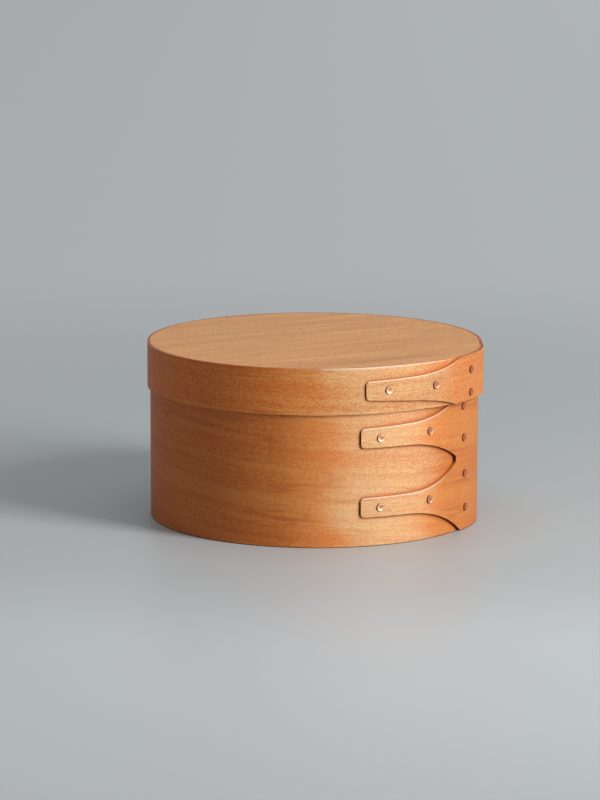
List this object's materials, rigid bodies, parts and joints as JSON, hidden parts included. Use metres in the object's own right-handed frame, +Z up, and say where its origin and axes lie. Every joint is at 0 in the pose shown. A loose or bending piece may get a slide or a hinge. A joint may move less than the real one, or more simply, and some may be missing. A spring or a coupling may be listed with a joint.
{
  "type": "bentwood pantry box",
  "caption": "Round bentwood pantry box with a lift-off lid, bent walls lapped into tapered fingers held by copper tacks.",
  "frame": {"origin": "centre of the box's underside, on the axis of its round inside", "axes": "+Z up, -Y to the front, the laps' fingers at the front right (+X, -Y)"},
  "size_m": [0.1496, 0.149, 0.0785],
  "materials": {
    "bent_wood": "oiled satin cherry, grain along the wall",
    "board_wood": "oiled satin cherry board",
    "copper": "hammered copper"
  },
  "bodies": {
    "box": {"box_band": "bent_wood", "base_board": "board_wood", "upper_tip_tack": "copper", "upper_mid_tack": "copper", "lower_tip_tack": "copper", "lower_mid_tack": "copper", "seam_tack_1": "copper", "seam_tack_2": "copper", "seam_tack_3": "copper", "seam_tack_4": "copper"},
    "lid": {"lid_band": "bent_wood", "lid_board": "board_wood", "lid_tip_tack": "copper", "lid_mid_tack": "copper", "lid_seam_tack_1": "copper", "lid_seam_tack_2": "copper"}
  },
  "joints": [
    {"name": "lid_lift", "type": "slide", "parent": "box", "child": "lid", "axis": [0, 0, 1], "range_m": [0, 0.1]}
  ]
}
